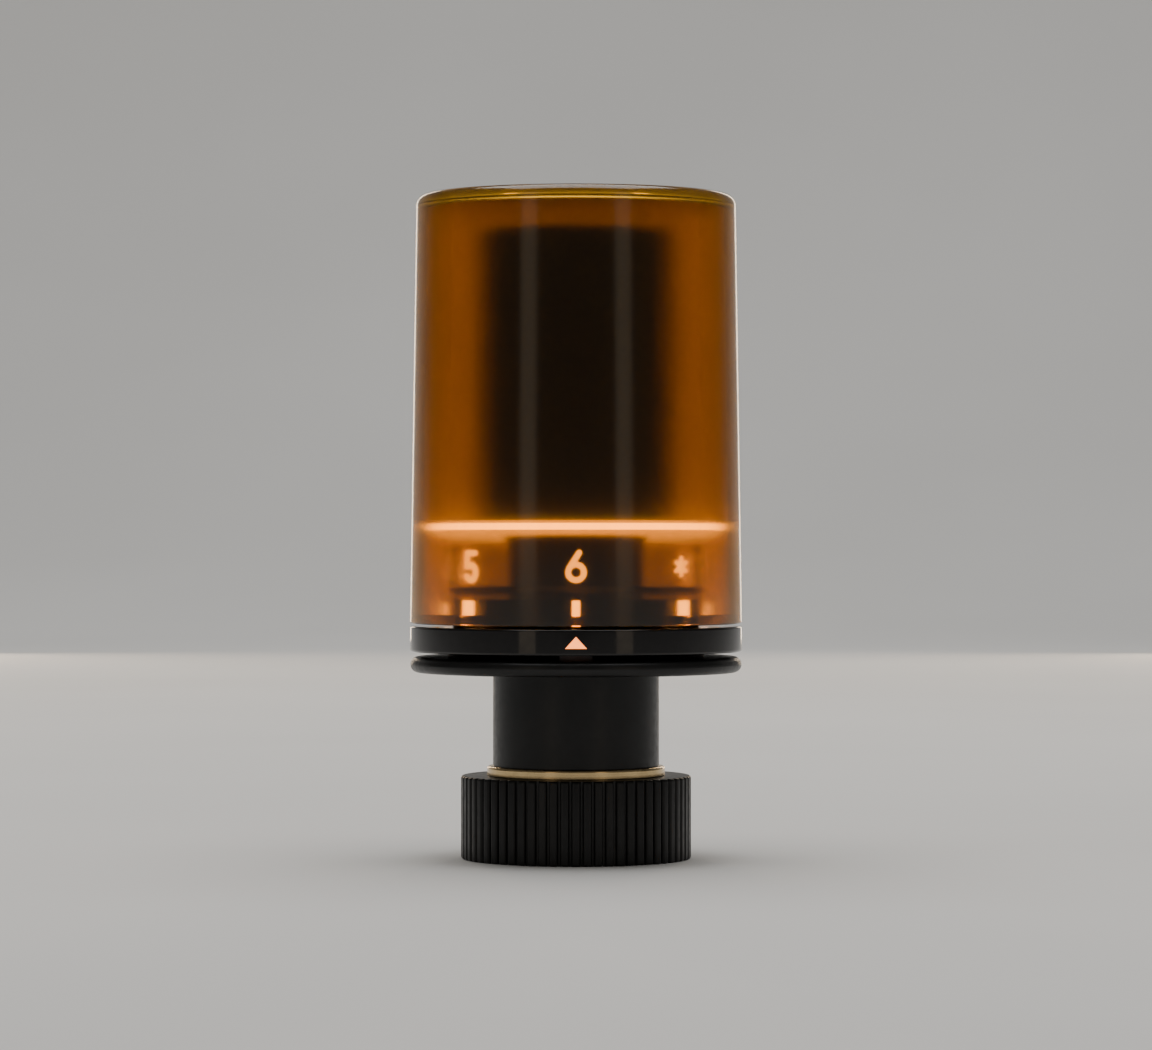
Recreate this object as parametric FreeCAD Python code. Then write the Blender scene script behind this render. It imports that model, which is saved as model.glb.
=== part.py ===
import FreeCAD, Part
import math
import os

# Motorised actuator head for a radiator valve, in millimetres.
# The origin is the centre of the union nut's lower face and +Z runs up through the head.
# The front of the dial, where the pointer stands, is -Y.

# ---- driving sizes -------------------------------------------------------------------------
SLIP = 0.06  # radial clearance of a running fit
GAP = 0.10  # axial clearance of a running fit
PARTING = 0.40  # open line between a turning piece and the fixed piece beside it

# union nut
THREAD_MINOR_R = 14.19  # core radius of M30 x 1.5
THREAD_LEAD_IN = 0.60
THREAD_RELIEF = 0.50  # undercut where the thread ends, beside the neck's foot
NUT_WALL = 3.81  # from the thread's core to the top of the ribs
NUT_H = 13.0
NUT_RIBS = 64
RIB_GROOVE_W = 0.50
RIB_GROOVE_DEPTH = 0.50
NUT_EDGE = 0.40
NUT_WEB = 1.60
SEAT_Z = 9.30  # height at which the neck's foot meets the valve

# neck and its rings
COLLAR_PLAY = 0.19  # between the neck's collar and the thread's core
COLLAR_STEP = 1.0
NECK_WALL = 2.0
NECK_LENGTH = 14.65  # seen between the brass ring and the flange
NECK_HEAD = 2.0  # thickness of the neck's closed upper end
WASHER_T = 0.35
BRASS_STEP = 0.90  # how far the brass ring stands out of the neck
BRASS_H = 1.5
BRASS_EDGE = 0.40

# head, flange and drum
HEAD_R = 26.0  # radius of the pointer ring and of the cap's foot
FLANGE_INSET = 0.1
FLANGE_T = 2.45
FLANGE_EDGE = 0.48  # share of the flange's thickness that each edge rounds off
DRUM_INSET = 6.0  # from the pointer ring in to the drum
DRUM_STEP = 0.8  # from the drum's lower wall in to the dial's bearing
DRUM_WALL = 1.6
DRUM_ROOF = 1.4
BOSS_R = 1.5
BOSS_ROOT = 0.4  # how far a boss runs into the drum's wall
SCREW_R = 0.6
SCREW_GRIP = 3.6
SCREW_HEAD_R = 1.25
SCREW_HEAD_H = 1.0
SCREW_HEAD_EDGE = 0.25
CROSS_L = 1.5
CROSS_W = 0.3
CROSS_DEPTH = 0.5

# pointer ring
RING_FOOT_GAP = 0.80  # open groove over the flange
RING_H = 4.0
RING_WALL = 1.6
RING_ROOF = 1.4
RING_EDGE = 0.35
POINTER_W = 3.3
POINTER_H = 1.8
POINTER_LIFT = 1.1  # height of the pointer's base over the ring's foot
LAMP_BOARD_W = 5.0
LAMP_BOARD_T = 0.8
POINTER_LAMP = 1.2

# dial
POSITIONS = 7
SLEEVE_WALL = 0.82
SLEEVE_HEADROOM = 1.4  # under the light ring
SLEEVE_FOOT_H = 1.6
SLEEVE_LIP = 0.70
GLYPH_H = 5.0
GLYPH_W = 3.2
GLYPH_STROKE = 0.85
STAR_STROKE = 0.55
GLYPH_HEADROOM = 1.1  # under the sleeve's top
GLYPH_RELIEF = 0.30
TICK_W = 1.2
TICK_H = 2.4
TICK_RELIEF = 1.2
STOP_PIN_R = 0.50
STOP_PIN_ROOT = 1.2  # how deep the stop pin stands in the pointer ring
STOP_SLACK_DEG = 0.5
MAGNET_H = 1.0
MAGNET_T = 1.1
SENSOR_SIZE = 2.6
SENSOR_H = 0.8

# amber cap
CAP_DRAFT = 1.0  # how much narrower the cap is at its top
CAP_WALL = 1.8
CAP_ROOF = 1.8
CAP_HEADROOM = 4.0  # between the battery lid and the cap's roof
CAP_EDGE = 1.75
CAP_FOOT_EDGE = 0.30
CAP_SEAT_SLIP = 0.08

# motor and light ring
MOTOR_R = 7.75
MOTOR_LENGTH = 12.4
MOTOR_HEADROOM = 0.5
MOTOR_NOSE_R = 3.0
MOTOR_EDGE = 0.6
SHAFT_R = 0.75
SHAFT_GRIP = 3.0  # length of the shaft's bearing in the motor
DAMPER_T = 1.55
DAMPER_H = 6.0
DAMPER_LIFT = 2.0
CHIMNEY_WALL = 1.2
CHIMNEY_SHOULDER = 0.8
LIGHT_RING_T = 2.0
LIGHT_RING_EDGE = 0.5
LIGHT_RING_PLAY = 1.20  # between the light ring and the cap's foot bore
LAMP_BOARD_RING_T = 0.9
LED_COUNT = 8
LED_SIZE = 1.5
LED_H = 0.65

# battery tube, cell and circuit board
TUBE_WALL = 1.2
TUBE_FLOOR = 1.3
TUBE_PLAY = 0.41  # between the main board's corners and the tube
LID_T = 2.0
LID_SPIGOT = 2.2
LID_SPIGOT_WALL = 3.0
LID_EDGE = 0.8
LID_OVER_CELL = 2.8
SEAL_T = 0.9
SEAL_DEPTH = 0.6
COIN_SLOT_L = 14.0
COIN_SLOT_W = 1.6
COIN_SLOT_DEPTH = 0.8
CONTACT_R = 3.0
CONTACT_T = 0.4
CONTACT_POST_R = 1.4
CELL_R = 8.5
CELL_LENGTH = 33.5
CELL_NUB_R = 3.2
CELL_NUB_H = 1.0
CELL_EDGE = 0.6
CELL_Y = -1.0
CELL_PLAY = 1.0  # between the cell and the main board
SPRING_H = 3.5
SPRING_R = 3.4
SPRING_WIRE = 0.7  # side of the spring's square wire
SPRING_TURNS = 3
SPRING_PLATE_T = 0.3
MAIN_BOARD_W = 20.0
MAIN_BOARD_T = 1.0
MAIN_BOARD_LIFT = 0.6  # room under the board for the flat lead
RADIO = (12.0, 1.8, 18.0, 12.0, 0.0)  # each part: width, depth, lift, height, x
PROCESSOR = (6.0, 1.0, 9.0, 6.0, -2.0)
CAPACITOR = (5.0, 2.2, 10.0, 5.0, 5.0)
CONNECTOR = (7.0, 2.0, 2.0, 4.0, 0.0)
FLEX_W = 4.0
FLEX_T = 0.2
FLEX_PLAY = 0.4  # round the lead in the tube's floor

# gear train: three equal reductions between the motor and the spindle
PINION_TEETH = 10
WHEEL_TEETH = 38
GEAR_ROOM = 0.88  # between the widest wheel and the drum's wall
PRESSURE_ANGLE = 25.0
ADDENDUM = 0.8
DEDENDUM = 1.1
BACKLASH = 0.05  # taken off each tooth's thickness
WHEEL_T = 1.4
LAYER_GAP = 0.6
AXLE_R = 0.8
AXLE_ROOT = 0.8  # how deep an axle stands in the drum's roof
PLATE_T = 1.2
PLATE_GAP = 0.5
SPINDLE_HUB_R = 4.6
SPINDLE_NUT_R = 3.4
SPINDLE_HUB_DROP = 7.15  # how far the hub hangs below the flange

# plunger
STROKE = 4.5
DRIVE_SCREW_R = 2.4
DRIVE_SCREW_ROOT = 7.0  # length of the screw held in the plunger's foot
DRIVE_SCREW_SINK = 1.7  # how far the screw's end lies under the output gear's face
FOOT_R = 4.0
FOOT_FLAT = 3.2
FOOT_SINK = 0.3  # how far the retracted plunger lies inside the neck's foot
FOOT_HEADROOM = 1.0  # under the output gear's hub
BUSH_COVER = 0.5  # of the bush over the extended plunger's foot

# ---- heights and radii worked out from them ------------------------------------------------
# radii, from the thread outwards
nut_r = THREAD_MINOR_R + NUT_WALL
collar_r = THREAD_MINOR_R - COLLAR_PLAY
neck_r = collar_r - COLLAR_STEP
neck_bore_r = neck_r - NECK_WALL
brass_r = neck_r + BRASS_STEP
flange_r = HEAD_R - FLANGE_INSET
drum_r = HEAD_R - DRUM_INSET
drum_upper_r = drum_r - DRUM_STEP
drum_bore_r = drum_r - DRUM_WALL
boss_circle_r = drum_bore_r - BOSS_R + BOSS_ROOT
sleeve_bore_r = drum_upper_r + SLIP
sleeve_r = sleeve_bore_r + SLEEVE_WALL
lip_bore_r = sleeve_bore_r - SLEEVE_LIP
cap_bore_r = HEAD_R - CAP_WALL
cap_top_r = HEAD_R - CAP_DRAFT
stop_circle_r = (sleeve_r + cap_bore_r) / 2
light_ring_r = cap_bore_r - LIGHT_RING_PLAY
chimney_bore_r = MOTOR_R + DAMPER_T
chimney_r = chimney_bore_r + CHIMNEY_WALL
main_board_y = CELL_Y + CELL_R + CELL_PLAY
board_back_y = main_board_y + MAIN_BOARD_T
flex_y = (MOTOR_R + chimney_bore_r) / 2
tube_bore_r = math.hypot(MAIN_BOARD_W / 2, board_back_y) + TUBE_PLAY
tube_r = tube_bore_r + TUBE_WALL
spigot_r = tube_bore_r - GAP
seal_bore_r = spigot_r - SEAL_DEPTH
gear_reach = (PINION_TEETH + WHEEL_TEETH) / 2 + WHEEL_TEETH / 2 + ADDENDUM  # in modules
gear_module = (drum_bore_r - GEAR_ROOM) / gear_reach
centre_distance = gear_module * (PINION_TEETH + WHEEL_TEETH) / 2
neck_screw_circle_r = (SPINDLE_HUB_R + neck_r) / 2

# heights, from the nut's foot upwards
web_foot = NUT_H - NUT_WEB
collar_top = web_foot - GAP / 2 - WASHER_T
brass_top = NUT_H + BRASS_H
neck_top = brass_top + NECK_LENGTH
flange_top = neck_top + FLANGE_T
ring_foot = flange_top + RING_FOOT_GAP
ring_top = ring_foot + RING_H
ring_roof_foot = ring_top - RING_ROOF
dial_foot = ring_top + PARTING
layer_pitch = WHEEL_T + LAYER_GAP
layer_foot = [flange_top + PLATE_T + PLATE_GAP + layer_pitch * index for index in range(3)]
drum_roof_foot = layer_foot[2] + WHEEL_T + PLATE_GAP + GAP * 4
drum_top = drum_roof_foot + DRUM_ROOF
motor_top = drum_top + MOTOR_LENGTH
tube_foot = motor_top + MOTOR_HEADROOM
light_ring_top = tube_foot - LAMP_BOARD_RING_T
light_ring_foot = light_ring_top - LIGHT_RING_T
sleeve_top = light_ring_foot - SLEEVE_HEADROOM
glyph_foot = sleeve_top - GLYPH_HEADROOM - GLYPH_H
tick_foot = dial_foot + SLEEVE_FOOT_H
tube_floor_top = tube_foot + TUBE_FLOOR
cell_foot = tube_floor_top + SPRING_H
cell_top = cell_foot + CELL_LENGTH
lid_foot = cell_top + CELL_NUB_H + LID_OVER_CELL
lid_top = lid_foot + LID_T
cap_top = lid_top + CAP_HEADROOM + CAP_ROOF
hub_foot = neck_top - SPINDLE_HUB_DROP
plunger_tip = SEAT_Z + FOOT_SINK
plunger_top = hub_foot - FOOT_HEADROOM
bush_top = plunger_top - STROKE + BUSH_COVER
drive_screw_top = layer_foot[0] + WHEEL_T - DRIVE_SCREW_SINK

# angles
step_deg = 360.0 / POSITIONS
FRONT_DEG = -90.0
BACK_DEG = 90.0
AXLE_DEG = (60.0, 120.0)
BOSS_DEG = (90.0, 210.0, 330.0)

UP = FreeCAD.Vector(0, 0, 1)
ORIGIN = FreeCAD.Vector(0, 0, 0)


# ---- shape helpers -------------------------------------------------------------------------
def polar(radius, degrees, z=0.0):
    """The point at a radius and an angle about the head's axis."""
    angle = math.radians(degrees)
    return FreeCAD.Vector(radius * math.cos(angle), radius * math.sin(angle), z)


def rod(radius, foot, top, centre=ORIGIN):
    """A solid cylinder along Z from foot to top."""
    return Part.makeCylinder(radius, top - foot, FreeCAD.Vector(centre.x, centre.y, foot))


def tube(outer, bore, foot, top, centre=ORIGIN):
    """A straight tube along Z."""
    return rod(outer, foot, top, centre).cut(rod(bore, foot - 1, top + 1, centre))


def block(size_x, size_y, foot, top, x=0.0, y=0.0):
    """An upright block centred on x, y."""
    corner = FreeCAD.Vector(x - size_x / 2, y - size_y / 2, foot)
    return Part.makeBox(size_x, size_y, top - foot, corner)


def turned(profile):
    """A solid turned about Z from a closed outline of (radius, height) corners."""
    points = [FreeCAD.Vector(r, 0, z) for r, z in profile]
    outline = Part.makePolygon(points + points[:1])
    return Part.Face(outline).revolve(ORIGIN, UP, 360)


def rims(shape, height, radius=None):
    """The round edges of a shape that lie flat at one height, of one radius if it is given."""
    found = []
    for edge in shape.Edges:
        box = edge.BoundBox
        if abs(box.ZMin - height) > 1e-4 or abs(box.ZMax - height) > 1e-4:
            continue
        if not isinstance(edge.Curve, Part.Circle):
            continue
        if radius is None or abs(edge.Curve.Radius - radius) < 1e-4:
            found.append(edge)
    return found


def around(shape, angles):
    """Copies of a shape turned about Z, as a list."""
    copies = []
    for degrees in angles:
        copy = shape.copy()
        copy.rotate(ORIGIN, UP, degrees)
        copies.append(copy)
    return copies


def group(solids):
    """Separate solids kept together as one node."""
    return Part.makeCompound(solids)


def sector(outer, bore, foot, top, start_deg, end_deg):
    """Part of a tube between two angles."""
    profile = [(bore, foot), (outer, foot), (outer, top), (bore, top)]
    points = [FreeCAD.Vector(r, 0, z) for r, z in profile]
    face = Part.Face(Part.makePolygon(points + points[:1]))
    solid = face.revolve(ORIGIN, UP, end_deg - start_deg)
    solid.rotate(ORIGIN, UP, start_deg)
    return solid


# ---- gears ---------------------------------------------------------------------------------
def tooth_outline(teeth, tooth_deg):
    """The closed outline of a spur gear with one tooth centred on tooth_deg."""
    pitch_r = gear_module * teeth / 2
    tip_r = pitch_r + ADDENDUM * gear_module
    root_r = pitch_r - DEDENDUM * gear_module
    pressure = math.radians(PRESSURE_ANGLE)
    base_r = pitch_r * math.cos(pressure)
    half_pitch_angle = (math.pi * gear_module / 2 - BACKLASH) / (2 * pitch_r)
    involute_at_pitch = math.tan(pressure) - pressure

    def half_angle(radius):
        """Half the angle that a tooth spans at a radius."""
        roll = math.acos(min(1.0, base_r / radius))
        return half_pitch_angle + involute_at_pitch - (math.tan(roll) - roll)

    flank_foot_r = max(root_r, base_r)
    flank_mid_r = (flank_foot_r + tip_r) / 2
    edges = []
    turn = 2 * math.pi / teeth
    for index in range(teeth):
        middle = math.radians(tooth_deg) + index * turn

        def spot(radius, side, span):
            angle = middle + side * span
            return FreeCAD.Vector(radius * math.cos(angle), radius * math.sin(angle), 0)

        foot_span = half_angle(flank_foot_r)
        flank = [(r, half_angle(r)) for r in (flank_foot_r, flank_mid_r, tip_r)]
        rising = [spot(r, -1, span) for r, span in flank]
        falling = [spot(r, 1, span) for r, span in reversed(flank)]
        if root_r < flank_foot_r - 1e-6:
            edges.append(Part.LineSegment(spot(root_r, -1, foot_span), rising[0]).toShape())
        edges.append(Part.Arc(*rising).toShape())
        edges.append(Part.Arc(rising[2], spot(tip_r, 0, 0), falling[0]).toShape())
        edges.append(Part.Arc(*falling).toShape())
        if root_r < flank_foot_r - 1e-6:
            edges.append(Part.LineSegment(falling[2], spot(root_r, 1, foot_span)).toShape())
        next_foot = spot(root_r, 1, turn - foot_span)
        edges.append(Part.Arc(spot(root_r, 1, foot_span), spot(root_r, 1, turn / 2), next_foot).toShape())
    return Part.Wire(edges)


def spur(teeth, tooth_deg, foot, top, centre):
    """A plain spur gear without a bore."""
    outline = tooth_outline(teeth, tooth_deg)
    gear = Part.Face(outline).extrude(FreeCAD.Vector(0, 0, top - foot))
    gear.translate(FreeCAD.Vector(centre.x, centre.y, foot))
    return gear


def compound_gear(centre, wheel_tooth_deg, pinion_tooth_deg, wheel_layer):
    """A wheel with its own pinion one layer below, bored for its axle."""
    wheel_foot = layer_foot[wheel_layer]
    pinion_foot = layer_foot[wheel_layer - 1]
    wheel = spur(WHEEL_TEETH, wheel_tooth_deg, wheel_foot, wheel_foot + WHEEL_T, centre)
    pinion = spur(PINION_TEETH, pinion_tooth_deg, pinion_foot, wheel_foot, centre)
    bore = rod(AXLE_R + SLIP, pinion_foot - 1, wheel_foot + WHEEL_T + 1, centre)
    return wheel.fuse(pinion).cut(bore)


# ---- union nut -----------------------------------------------------------------------------
def union_nut():
    """Ribbed nut with an M30 core bore, closed above by a web that rides on the neck."""
    root_r = nut_r - RIB_GROOVE_DEPTH
    pitch = 360.0 / NUT_RIBS
    groove = math.degrees(RIB_GROOVE_W / nut_r)
    edges = []
    for index in range(NUT_RIBS):
        start = FRONT_DEG + index * pitch - (pitch - groove) / 2
        rib_end = start + pitch - groove
        middle = (start + rib_end) / 2
        rib = Part.Arc(polar(nut_r, start), polar(nut_r, middle), polar(nut_r, rib_end))
        floor = Part.Arc(
            polar(root_r, rib_end), polar(root_r, rib_end + groove / 2), polar(root_r, rib_end + groove)
        )
        edges.append(rib.toShape())
        edges.append(Part.LineSegment(polar(nut_r, rib_end), polar(root_r, rib_end)).toShape())
        edges.append(floor.toShape())
        next_rib = rib_end + groove
        edges.append(Part.LineSegment(polar(root_r, next_rib), polar(nut_r, next_rib)).toShape())
    ribbed = Part.Face(Part.Wire(edges)).extrude(FreeCAD.Vector(0, 0, NUT_H))
    web_foot = NUT_H - NUT_WEB
    neck_pass = neck_r + SLIP
    relief_r = THREAD_MINOR_R + THREAD_RELIEF
    blank = turned([
        (neck_pass, web_foot),
        (relief_r, web_foot),
        (relief_r, SEAT_Z - 2 * GAP),
        (THREAD_MINOR_R, SEAT_Z - 2 * GAP),
        (THREAD_MINOR_R, THREAD_LEAD_IN),
        (THREAD_MINOR_R + THREAD_LEAD_IN, 0),
        (nut_r - NUT_EDGE, 0),
        (nut_r, NUT_EDGE),
        (nut_r, NUT_H - NUT_EDGE),
        (nut_r - NUT_EDGE, NUT_H),
        (neck_pass, NUT_H),
    ])
    return blank.common(ribbed)


# ---- neck and flange -----------------------------------------------------------------------
def neck_screw_spots():
    return [polar(neck_screw_circle_r, degrees) for degrees in BOSS_DEG]


def neck_sleeve():
    """Neck with the collar that the nut pulls down and a closed head for the flange screws."""
    neck = rod(neck_r, SEAT_Z, neck_top).fuse(rod(collar_r, SEAT_Z, collar_top))
    neck = neck.cut(rod(neck_bore_r, SEAT_Z - 1, neck_top - NECK_HEAD))
    neck = neck.cut(rod(SPINDLE_HUB_R + 4 * SLIP, neck_top - NECK_HEAD - 1, neck_top + 1))
    for spot in neck_screw_spots():
        neck = neck.cut(rod(SCREW_R, neck_top - NECK_HEAD - 1, neck_top + 1, spot))
    return neck


def nut_washer():
    """Thin slip washer between the neck's collar and the nut's web."""
    return tube(collar_r, neck_r, collar_top, collar_top + WASHER_T)


def brass_ring():
    """Bright ring pressed on the neck, which keeps the nut from sliding up."""
    ring = tube(brass_r, neck_r, NUT_H + GAP, brass_top)
    return ring.makeFillet(BRASS_EDGE, rims(ring, brass_top, brass_r))


def base_flange():
    """Round-edged disc that carries the head on the neck."""
    flange = rod(flange_r, neck_top, flange_top)
    edge = FLANGE_T * FLANGE_EDGE
    flange = flange.makeFillet(edge, rims(flange, neck_top) + rims(flange, flange_top))
    flange = flange.cut(rod(SPINDLE_HUB_R + SLIP, neck_top - 1, flange_top + 1))
    for spot in neck_screw_spots():
        flange = flange.cut(rod(SCREW_R, neck_top - 1, flange_top + 1, spot))
        flange = flange.cut(rod(SCREW_HEAD_R, flange_top - SCREW_HEAD_R, flange_top + 1, spot))
    for degrees in BOSS_DEG:
        spot = polar(boss_circle_r, degrees)
        flange = flange.cut(rod(SCREW_R, neck_top - 1, flange_top + 1, spot))
        flange = flange.cut(rod(SCREW_HEAD_R, neck_top - 1, neck_top + SCREW_HEAD_R, spot))
    return flange


def screw(foot, head_foot, spot, head_up=True):
    """A small pan screw with a cross recess, its head above or below its shank."""
    length = head_foot - foot
    top = length + SCREW_HEAD_H
    shank = rod(SCREW_R, 0, length)
    head = rod(SCREW_HEAD_R, length, top)
    head = head.makeFillet(SCREW_HEAD_EDGE, rims(head, top))
    arm = block(CROSS_L, CROSS_W, top - CROSS_DEPTH, top + 1)
    cross = arm.fuse(around(arm, [90])[0])
    piece = shank.fuse(head).cut(cross)
    if not head_up:
        piece.rotate(ORIGIN, FreeCAD.Vector(1, 0, 0), 180)
        piece.translate(FreeCAD.Vector(0, 0, length))
    piece.translate(FreeCAD.Vector(spot.x, spot.y, foot))
    return piece


def neck_screws():
    foot = neck_top - NECK_HEAD + 2 * GAP
    return group([screw(foot, flange_top - SCREW_HEAD_R, spot) for spot in neck_screw_spots()])


def drum_screws():
    """Three screws that come up through the flange into the drum's bosses."""
    head_top = neck_top + SCREW_HEAD_R
    shank_top = flange_top + SCREW_GRIP
    screws = []
    for degrees in BOSS_DEG:
        spot = polar(boss_circle_r, degrees)
        screws.append(screw(head_top, shank_top, spot, head_up=False))
    return group(screws)


# ---- drum and gear case --------------------------------------------------------------------
def base_drum():
    """Inverted cup that closes the gear case and bears the dial on its upper part."""
    drum = turned([
        (0, drum_roof_foot),
        (drum_bore_r, drum_roof_foot),
        (drum_bore_r, flange_top),
        (drum_r, flange_top),
        (drum_r, ring_roof_foot),
        (drum_upper_r, ring_roof_foot),
        (drum_upper_r, drum_top),
        (0, drum_top),
    ])
    for degrees in BOSS_DEG:
        spot = polar(boss_circle_r, degrees)
        drum = drum.fuse(rod(BOSS_R, flange_top, drum_roof_foot, spot))
    for degrees in BOSS_DEG:
        spot = polar(boss_circle_r, degrees)
        drum = drum.cut(rod(SCREW_R, flange_top - 1, flange_top + SCREW_GRIP, spot))
    for degrees in AXLE_DEG:
        spot = polar(centre_distance, degrees)
        drum = drum.cut(rod(AXLE_R, drum_roof_foot - 1, drum_roof_foot + AXLE_ROOT, spot))
    return drum.cut(rod(MOTOR_NOSE_R, drum_roof_foot - 1, drum_top + 1))


def gear_plate():
    """Metal plate on the flange that holds the lower ends of the axles."""
    plate = rod(drum_bore_r - SLIP, flange_top, flange_top + PLATE_T)
    plate = plate.cut(rod(SPINDLE_HUB_R + SLIP, flange_top - 1, flange_top + PLATE_T + 1))
    for degrees in BOSS_DEG:
        spot = polar(boss_circle_r, degrees)
        plate = plate.cut(rod(BOSS_R + 2 * SLIP, flange_top - 1, flange_top + 2 * PLATE_T, spot))
    for degrees in AXLE_DEG:
        spot = polar(centre_distance, degrees)
        plate = plate.cut(rod(AXLE_R, flange_top + PLATE_T / 4, flange_top + 2 * PLATE_T, spot))
    return plate


def gear_axles():
    foot = flange_top + PLATE_T / 4
    top = drum_roof_foot + AXLE_ROOT
    return group([rod(AXLE_R, foot, top, polar(centre_distance, degrees)) for degrees in AXLE_DEG])


def output_gear():
    """Wheel on the head's axis with a long hub that carries the spindle nut."""
    tooth_deg = AXLE_DEG[1] + 180.0 / WHEEL_TEETH
    foot = layer_foot[0]
    gear = spur(WHEEL_TEETH, tooth_deg, foot, foot + WHEEL_T, ORIGIN)
    gear = gear.fuse(rod(SPINDLE_HUB_R, hub_foot, foot))
    return gear.cut(rod(SPINDLE_NUT_R, hub_foot - 1, foot + WHEEL_T + 1))


def spindle_nut():
    """Brass nut in the output gear's hub."""
    return tube(SPINDLE_NUT_R, DRIVE_SCREW_R + SLIP, hub_foot, layer_foot[0] + WHEEL_T)


def second_gear():
    """Compound gear between the first gear and the output gear."""
    towards_first = AXLE_DEG[1] - 120.0
    wheel_tooth = towards_first + 180.0 / WHEEL_TEETH
    return compound_gear(polar(centre_distance, AXLE_DEG[1]), wheel_tooth, AXLE_DEG[1] + 180.0, 1)


def first_gear():
    """Compound gear driven by the motor pinion."""
    towards_second = AXLE_DEG[0] + 120.0
    wheel_tooth = AXLE_DEG[0] + 180.0 + 180.0 / WHEEL_TEETH
    return compound_gear(polar(centre_distance, AXLE_DEG[0]), wheel_tooth, towards_second, 2)


def motor_pinion():
    foot = layer_foot[2]
    pinion = spur(PINION_TEETH, AXLE_DEG[0], foot, foot + WHEEL_T, ORIGIN)
    return pinion.cut(rod(SHAFT_R, foot - 1, foot + WHEEL_T + 1))


def motor_shaft():
    return rod(SHAFT_R, layer_foot[2] - 3 * GAP, drum_top + SHAFT_GRIP)


# ---- plunger -------------------------------------------------------------------------------
def drive_screw():
    return rod(DRIVE_SCREW_R, plunger_top - DRIVE_SCREW_ROOT, drive_screw_top)


def keyed(radius, flat, foot, top):
    """A cylinder with two flats, facing the front and the back."""
    return rod(radius, foot, top).common(block(4 * radius, 2 * flat, foot, top))


def plunger_foot():
    """Plunger that presses the valve's pin, with flats that keep it from turning."""
    foot = keyed(FOOT_R, FOOT_FLAT, plunger_tip, plunger_top)
    return foot.cut(rod(DRIVE_SCREW_R, plunger_top - DRIVE_SCREW_ROOT, plunger_top + 1))


def guide_bush():
    """Bush in the neck's foot that guides the plunger."""
    bush = rod(neck_bore_r, SEAT_Z, bush_top)
    return bush.cut(keyed(FOOT_R + SLIP, FOOT_FLAT + SLIP, SEAT_Z - 1, bush_top + 1))


# ---- pointer ring --------------------------------------------------------------------------
def pointer_outline(front_y, depth):
    """A triangular prism, point up, that runs back from front_y."""
    foot = ring_foot + POINTER_LIFT
    corners = [(-POINTER_W / 2, foot), (POINTER_W / 2, foot), (0, foot + POINTER_H)]
    points = [FreeCAD.Vector(x, front_y, z) for x, z in corners]
    face = Part.Face(Part.makePolygon(points + points[:1]))
    return face.extrude(FreeCAD.Vector(0, depth, 0))


def stop_pin_spot():
    return polar(stop_circle_r, BACK_DEG)


def pointer_ring():
    """Fixed dark ring under the cap, a channel open below, with a window for the pointer."""
    ring = turned([
        (drum_upper_r, ring_roof_foot),
        (HEAD_R - RING_WALL, ring_roof_foot),
        (HEAD_R - RING_WALL, ring_foot),
        (HEAD_R, ring_foot),
        (HEAD_R, ring_top),
        (drum_upper_r, ring_top),
    ])
    edges = rims(ring, ring_foot, HEAD_R) + rims(ring, ring_top, HEAD_R)
    ring = ring.makeFillet(RING_EDGE, edges)
    ring = ring.cut(pointer_outline(-HEAD_R - 1, RING_WALL + 2))
    return ring.cut(rod(STOP_PIN_R, ring_top - STOP_PIN_ROOT, ring_top + 1, stop_pin_spot()))


def pointer_lens():
    """Clear triangular lens that fills the pointer window flush with the ring."""
    wall = tube(HEAD_R, HEAD_R - RING_WALL, ring_foot, ring_top)
    return pointer_outline(-HEAD_R - 1, RING_WALL + 2).common(wall)


def pointer_board():
    """Small lamp board behind the pointer lens, standing on the flange."""
    board_y = RING_WALL + 2 * LAMP_BOARD_T - HEAD_R + GAP * 2
    lamp_y = board_y - LAMP_BOARD_T
    board = block(LAMP_BOARD_W, LAMP_BOARD_T, flange_top, ring_roof_foot - 2 * GAP, 0, board_y)
    lamp_foot = ring_foot + POINTER_LIFT
    lamp = block(POINTER_LAMP, LAMP_BOARD_T, lamp_foot, lamp_foot + POINTER_LAMP, 0, lamp_y)
    return board.fuse(lamp)


def stop_pin():
    """Steel pin that ends the dial's travel at its first and last marks."""
    groove_top = dial_foot + SLEEVE_FOOT_H / 2
    return rod(STOP_PIN_R, ring_top - STOP_PIN_ROOT, groove_top - GAP, stop_pin_spot())


# ---- dial ----------------------------------------------------------------------------------
def number_sleeve():
    """Clear sleeve that carries the marks; its foot seats the cap and holds the stop groove."""
    seat_r = cap_bore_r - CAP_SEAT_SLIP
    lip_foot = drum_top + GAP
    sleeve = turned([
        (sleeve_bore_r, dial_foot),
        (seat_r, dial_foot),
        (seat_r, dial_foot + SLEEVE_FOOT_H),
        (sleeve_r, dial_foot + SLEEVE_FOOT_H),
        (sleeve_r, sleeve_top),
        (lip_bore_r, sleeve_top),
        (lip_bore_r, lip_foot),
        (sleeve_bore_r, lip_foot),
    ])
    half_groove = STOP_PIN_R + 2 * SLIP
    end_play_deg = math.degrees(math.asin(STOP_PIN_R / stop_circle_r)) + STOP_SLACK_DEG
    travel_deg = 360.0 - step_deg
    groove = sector(
        stop_circle_r + half_groove, stop_circle_r - half_groove,
        dial_foot - 1, dial_foot + SLEEVE_FOOT_H / 2,
        BACK_DEG - travel_deg - end_play_deg, BACK_DEG + end_play_deg,
    )
    return sleeve.cut(groove)


def encoder_magnet():
    """Ring magnet inside the sleeve, read by the sensor under it."""
    foot = drum_top + SENSOR_H + 2 * GAP
    return tube(lip_bore_r, lip_bore_r - MAGNET_T, foot, foot + MAGNET_H)


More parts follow.
